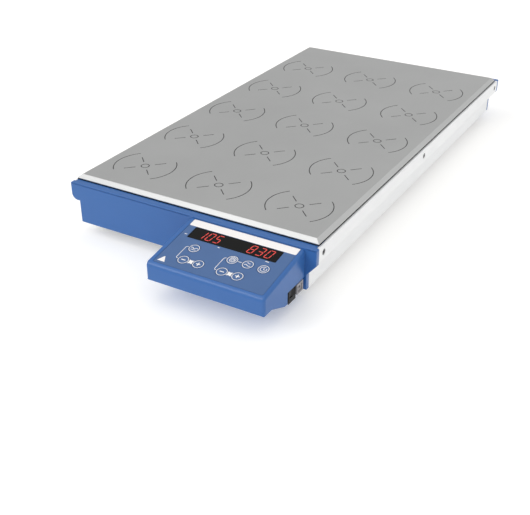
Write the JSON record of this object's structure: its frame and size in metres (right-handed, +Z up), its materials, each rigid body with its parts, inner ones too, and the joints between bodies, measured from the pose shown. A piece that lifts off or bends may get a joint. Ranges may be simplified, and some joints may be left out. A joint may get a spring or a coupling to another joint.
{
  "type": "multi-position magnetic hotplate stirrer",
  "caption": "Flat magnetic hotplate stirrer with a grid of marked stirring places on one steel plate, white side rails, and a sloping blue control head with displays and keys.",
  "frame": {"origin": "on the floor under the middle of the bounding box", "axes": "+Z up, +X to the right as seen from the control head, +Y to the back"},
  "size_m": [0.2784, 0.591, 0.06],
  "materials": {
    "plate_steel": "fine satin ground stainless steel",
    "black_seal": "matt black silicone",
    "heater_silicone": "matt orange-brown heating mat",
    "insulation": "pale fibre mat",
    "sensor_steel": "satin",
    "yoke_iron": "bare electrical steel",
    "white_paint": "satin white powder coat",
    "grey_cover": "satin light grey paint",
    "blue_plastic": "fine textured blue moulding",
    "keypad_foil": "satin polyester foil with white print",
    "display_window": "smoked dark window",
    "display_module": "black display module",
    "circuit_board": "green laminate",
    "black_plastic": "black moulding",
    "grey_plastic": "light grey moulding",
    "coil_copper": "enamelled copper winding",
    "foot_rubber": "matt black",
    "screw_steel": "blackened steel"
  },
  "bodies": {
    "base": {"bottom_cover": "grey_cover", "control_board": "circuit_board", "display_window": "display_window", "front_cap": "blue_plastic", "front_left_foot": "foot_rubber", "front_right_foot": "foot_rubber", "head_lower_shell": "blue_plastic", "head_upper_shell": "blue_plastic", "heater_mat": "heater_silicone", "insulation_mat": "insulation", "keypad_membrane": "keypad_foil", "left_side_rail": "white_paint", "left_side_screw_1": "screw_steel", "left_side_screw_2": "screw_steel", "left_side_screw_3": "screw_steel", "mains_inlet": "black_plastic", "plate_gasket": "black_seal", "plate_sensor": "sensor_steel", "power_board": "circuit_board", "power_switch_housing": "black_plastic", "rear_cap": "blue_plastic", "rear_left_foot": "foot_rubber", "rear_right_foot": "foot_rubber", "right_side_rail": "white_paint", "right_side_screw_1": "screw_steel", "right_side_screw_2": "screw_steel", "right_side_screw_3": "screw_steel", "sensor_socket": "grey_plastic", "setup_plate": "plate_steel", "speed_display": "display_module", "stir_coil_01": "coil_copper", "stir_coil_02": "coil_copper", "stir_coil_03": "coil_copper", "stir_coil_04": "coil_copper", "stir_coil_05": "coil_copper", "stir_coil_06": "coil_copper", "stir_coil_07": "coil_copper", "stir_coil_08": "coil_copper", "stir_coil_09": "coil_copper", "stir_coil_10": "coil_copper", "stir_coil_11": "coil_copper", "stir_coil_12": "coil_copper", "stir_coil_13": "coil_copper", "stir_coil_14": "coil_copper", "stir_coil_15": "coil_copper", "stir_yoke": "yoke_iron", "temperature_display": "display_module", "transformer": "yoke_iron"},
    "heat_key_button": {"heat_key": "keypad_foil"},
    "heat_minus_key_button": {"heat_minus_key": "keypad_foil"},
    "heat_plus_key_button": {"heat_plus_key": "keypad_foil"},
    "stir_key_button": {"stir_key": "keypad_foil"},
    "mode_key_button": {"mode_key": "keypad_foil"},
    "timer_key_button": {"timer_key": "keypad_foil"},
    "stir_minus_key_button": {"stir_minus_key": "keypad_foil"},
    "stir_plus_key_button": {"stir_plus_key": "keypad_foil"},
    "power_rocker_body": {"power_rocker": "black_plastic"},
    "fuse_drawer_body": {"fuse_drawer": "black_plastic"}
  },
  "joints": [
    {"name": "heat_key_press", "type": "slide", "parent": "base", "child": "heat_key_button", "axis": [0, 0.1599, -0.9871], "range_m": [0, 0.0004], "stiffness_N_per_m": 3000, "springref_m": -0.0002},
    {"name": "heat_minus_key_press", "type": "slide", "parent": "base", "child": "heat_minus_key_button", "axis": [0, 0.1599, -0.9871], "range_m": [0, 0.0004], "stiffness_N_per_m": 3000, "springref_m": -0.0002},
    {"name": "heat_plus_key_press", "type": "slide", "parent": "base", "child": "heat_plus_key_button", "axis": [0, 0.1599, -0.9871], "range_m": [0, 0.0004], "stiffness_N_per_m": 3000, "springref_m": -0.0002},
    {"name": "stir_key_press", "type": "slide", "parent": "base", "child": "stir_key_button", "axis": [0, 0.1599, -0.9871], "range_m": [0, 0.0004], "stiffness_N_per_m": 3000, "springref_m": -0.0002},
    {"name": "mode_key_press", "type": "slide", "parent": "base", "child": "mode_key_button", "axis": [0, 0.1599, -0.9871], "range_m": [0, 0.0004], "stiffness_N_per_m": 3000, "springref_m": -0.0002},
    {"name": "timer_key_press", "type": "slide", "parent": "base", "child": "timer_key_button", "axis": [0, 0.1599, -0.9871], "range_m": [0, 0.0004], "stiffness_N_per_m": 3000, "springref_m": -0.0002},
    {"name": "stir_minus_key_press", "type": "slide", "parent": "base", "child": "stir_minus_key_button", "axis": [0, 0.1599, -0.9871], "range_m": [0, 0.0004], "stiffness_N_per_m": 3000, "springref_m": -0.0002},
    {"name": "stir_plus_key_press", "type": "slide", "parent": "base", "child": "stir_plus_key_button", "axis": [0, 0.1599, -0.9871], "range_m": [0, 0.0004], "stiffness_N_per_m": 3000, "springref_m": -0.0002},
    {"name": "power_rocker_tilt", "type": "hinge", "parent": "base", "child": "power_rocker_body", "pos_m": [0.1243, -0.2456, 0.0199], "axis": [0, 0, 1], "range_deg": [0, 14]},
    {"name": "fuse_drawer_slide", "type": "slide", "parent": "base", "child": "fuse_drawer_body", "axis": [0, 1, 0], "range_m": [0, 0.016]}
  ]
}
